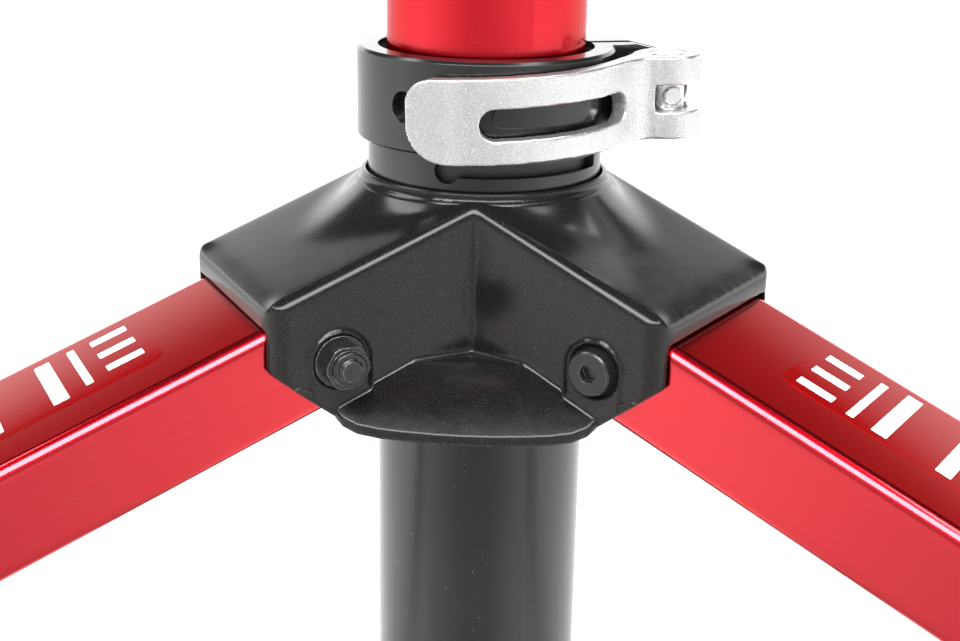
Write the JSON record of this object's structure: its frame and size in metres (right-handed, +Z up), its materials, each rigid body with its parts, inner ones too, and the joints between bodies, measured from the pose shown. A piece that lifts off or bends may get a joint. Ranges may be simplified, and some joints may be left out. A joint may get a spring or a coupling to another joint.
{
  "type": "tripod work stand",
  "caption": "Folding tripod work stand: rectangular legs on a cast hub, quick-release telescoping mast and a screw clamp head that tilts.",
  "frame": {"origin": "floor point on the column's axis, at the centre of the column foot's flat underside", "axes": "+Z up along the column; -Y along the front leg, which the jaw head also points along; +X to the right seen from the front"},
  "size_m": [1.1652, 1.0107, 0.929],
  "materials": {
    "red_anodised": "saturated red anodised, fine lengthwise brushing, satin gloss",
    "black_anodised": "black anodised drawn tube, semi-gloss",
    "black_casting": "satin black powder coat over an aluminium casting",
    "black_satin_aluminium": "satin black coated aluminium",
    "silver_cast": "silver powder coat with a fine sparkle over a die casting",
    "black_oxide_steel": "black oxide hardware",
    "zinc_steel": "bright zinc-plated steel",
    "black_plastic": "moulded nylon, fine grain",
    "white_plastic": "natural acetal",
    "black_rubber": "matt moulded rubber",
    "red_rubber": "soft matt rubber"
  },
  "bodies": {
    "base": {"hub_casting": "black_casting", "lower_tube": "black_anodised", "column_foot": "black_rubber", "clamp_sleeve": "black_satin_aluminium", "mast_liner": "black_plastic", "clamp_collar": "black_satin_aluminium", "lever_pin": "zinc_steel", "clamp_stud": "zinc_steel", "cam_saddle": "black_plastic", "stud_washer": "zinc_steel", "front_pivot_bolt": "black_oxide_steel", "front_pivot_washer": "black_oxide_steel", "front_pivot_nut": "black_oxide_steel", "rear_right_pivot_bolt": "black_oxide_steel", "rear_right_pivot_washer": "black_oxide_steel", "rear_right_pivot_nut": "black_oxide_steel", "rear_left_pivot_bolt": "black_oxide_steel", "rear_left_pivot_washer": "black_oxide_steel", "rear_left_pivot_nut": "black_oxide_steel"},
    "adjuster": {"adjusting_nut": "black_oxide_steel"},
    "cam_lever": {"clamp_lever": "silver_cast"},
    "mast_guide": {"mast_bush": "white_plastic"},
    "mast": {"mast_tube": "red_anodised", "head_casting": "black_casting", "head_fixing_screws": "black_oxide_steel"},
    "tilt_lock": {"lock_screw": "zinc_steel", "lock_knob": "black_plastic"},
    "jaw_head": {"swivel_shaft": "zinc_steel", "shaft_end_cap": "black_plastic", "jaw_frame": "black_casting", "fixed_jaw_pad": "red_rubber"},
    "moving_jaw": {"sliding_jaw": "black_casting", "sliding_jaw_pad": "red_rubber", "screw_keeper": "zinc_steel"},
    "jaw_screw": {"clamp_screw": "zinc_steel", "clamp_knob": "black_plastic"},
    "front_leg": {"front_leg_tube": "red_anodised", "front_leg_pivot_block": "black_plastic", "front_leg_pivot_sleeve": "zinc_steel", "front_leg_shoe": "black_plastic", "front_leg_sole": "black_rubber"},
    "rear_right_leg": {"rear_right_leg_tube": "red_anodised", "rear_right_leg_pivot_block": "black_plastic", "rear_right_leg_pivot_sleeve": "zinc_steel", "rear_right_leg_shoe": "black_plastic", "rear_right_leg_sole": "black_rubber"},
    "rear_left_leg": {"rear_left_leg_tube": "red_anodised", "rear_left_leg_pivot_block": "black_plastic", "rear_left_leg_pivot_sleeve": "zinc_steel", "rear_left_leg_shoe": "black_plastic", "rear_left_leg_sole": "black_rubber"}
  },
  "joints": [
    {"name": "front_leg_fold", "type": "hinge", "parent": "base", "child": "front_leg", "pos_m": [0, -0.052, 0.2497], "axis": [1, 0, 0], "range_deg": [0, 69]},
    {"name": "rear_right_leg_fold", "type": "hinge", "parent": "base", "child": "rear_right_leg", "pos_m": [0.04503, 0.026, 0.2497], "axis": [-0.5, 0.866, 0], "range_deg": [0, 69]},
    {"name": "rear_left_leg_fold", "type": "hinge", "parent": "base", "child": "rear_left_leg", "pos_m": [-0.04503, 0.026, 0.2497], "axis": [-0.5, -0.866, 0], "range_deg": [0, 69]},
    {"name": "lever_turn", "type": "hinge", "parent": "base", "child": "cam_lever", "pos_m": [0.02516, 0.03832, 0.306], "axis": [-0.0102, -0.0442, 0.999], "range_deg": [0, 130]},
    {"name": "nut_turn", "type": "hinge", "parent": "base", "child": "adjuster", "pos_m": [0.00967, 0.0419, 0.306], "axis": [-0.9744, 0.225, 0], "continuous": true},
    {"name": "mast_slide", "type": "slide", "parent": "base", "child": "mast_guide", "axis": [0, 0, 1], "range_m": [0, 0.17]},
    {"name": "mast_turn", "type": "hinge", "parent": "mast_guide", "child": "mast", "pos_m": [0, 0, 0.066], "axis": [0, 0, 1], "continuous": true},
    {"name": "lock_turn", "type": "hinge", "parent": "mast", "child": "tilt_lock", "pos_m": [0.03, 0, 0.895], "axis": [1, 0, 0], "range_deg": [-360, 360]},
    {"name": "head_turn", "type": "hinge", "parent": "mast", "child": "jaw_head", "pos_m": [0, 0, 0.895], "axis": [0, 1, 0], "continuous": true},
    {"name": "jaw_slide", "type": "slide", "parent": "jaw_head", "child": "moving_jaw", "axis": [0, 1, 0], "range_m": [0, 0.055]},
    {"name": "screw_turn", "type": "hinge", "parent": "moving_jaw", "child": "jaw_screw", "pos_m": [0, -0.25, 0.895], "axis": [0, 1, 0], "range_deg": [0, 2475.1]}
  ],
  "couplings": [
    {"joint": "screw_turn", "follows": "jaw_slide", "rad_per_m": 785.4}
  ]
}
